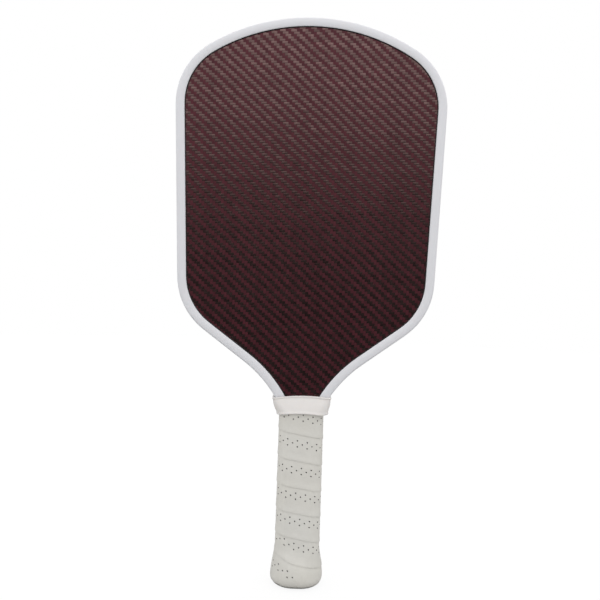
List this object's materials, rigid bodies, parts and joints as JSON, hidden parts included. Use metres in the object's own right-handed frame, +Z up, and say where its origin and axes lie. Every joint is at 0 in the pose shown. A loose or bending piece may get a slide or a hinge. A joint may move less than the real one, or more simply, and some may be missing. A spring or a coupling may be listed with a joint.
{
  "type": "pickleball paddle",
  "caption": "Long-handled pickleball paddle with a twill laminate face over a honeycomb core, moulded edge guard, wound perforated grip, throat collar and flared butt cap.",
  "frame": {"origin": "middle of the butt cap's flat end", "axes": "+Z up the paddle from the butt to the top of the head, X across the width, Y through the thickness with the front face towards -Y"},
  "size_m": [0.1972, 0.0364, 0.4121],
  "materials": {
    "core": "matte",
    "scrim": "matte",
    "bond_film": "gloss",
    "face_laminate": "gloss",
    "black_adhesive": "satin",
    "guard_plastic": "satin",
    "pallet_plastic": "matte",
    "cap_plastic": "satin",
    "staple_wire": "polished",
    "grip_tape": "satin",
    "finishing_tape": "satin",
    "collar_rubber": "satin"
  },
  "bodies": {
    "root": {"honeycomb_core": "core", "core_scrim_front": "scrim", "core_scrim_back": "scrim", "bond_film_front": "bond_film", "bond_film_back": "bond_film", "front_skin": "face_laminate", "back_skin": "face_laminate", "edge_adhesive": "black_adhesive", "edge_guard": "guard_plastic", "handle_pallet_front": "pallet_plastic", "handle_pallet_back": "pallet_plastic", "butt_cap": "cap_plastic", "butt_cap_staples": "staple_wire", "grip_tape": "grip_tape", "grip_end_tape": "finishing_tape", "grip_collar": "collar_rubber"}
  },
  "joints": []
}
